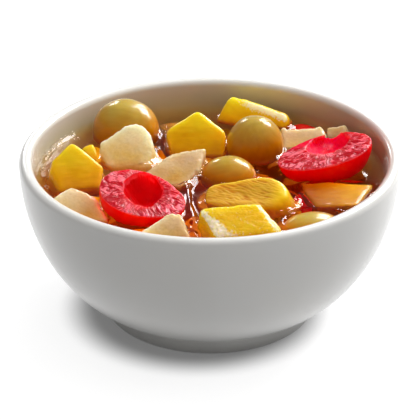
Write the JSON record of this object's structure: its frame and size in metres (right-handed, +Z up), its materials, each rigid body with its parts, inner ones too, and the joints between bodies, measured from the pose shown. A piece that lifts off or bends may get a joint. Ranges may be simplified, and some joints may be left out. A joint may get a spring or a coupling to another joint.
{
  "type": "bowl of fruit salad in syrup",
  "caption": "Small round white porcelain bowl on a turned foot, filled with syrup and diced peach, pear and pineapple, peeled grapes and stoned cherry halves.",
  "frame": {"origin": "centre of the foot, on the surface the bowl stands on, under the middle of the object's box", "axes": "+Z up along the bowl's own axis, -Y towards the side it is looked at from, +X to the right from there"},
  "size_m": [0.116, 0.116, 0.0558],
  "materials": {
    "porcelain": "white glazed porcelain, glossy",
    "syrup": "clear amber sugar syrup, wet",
    "grape": "wet peeled grape, olive to amber, translucent",
    "pear": "wet poached pear, cream, fine-grained and translucent",
    "peach": "wet poached peach, bright yellow to orange, faintly fibrous",
    "pineapple": "wet pineapple, yellow with pale rough cut fibres",
    "cherry": "wet candied cherry, bright red skin, pink-streaked cut face"
  },
  "bodies": {
    "root": {"bowl": "porcelain", "syrup": "syrup", "pear_left": "pear", "pear_front_left": "pear", "pear_front": "pear", "pear_middle": "pear", "pear_back_right": "pear", "pear_sliver": "pear", "peach_left": "peach", "peach_sliver": "peach", "peach_back": "peach", "peach_back_right": "peach", "peach_wedge": "peach", "peach_slab": "peach", "pineapple_front": "pineapple", "grape_back_left": "grape", "grape_middle": "grape", "grape_small": "grape", "grape_front_right": "grape", "cherry_left": "cherry", "cherry_right": "cherry"}
  },
  "joints": []
}
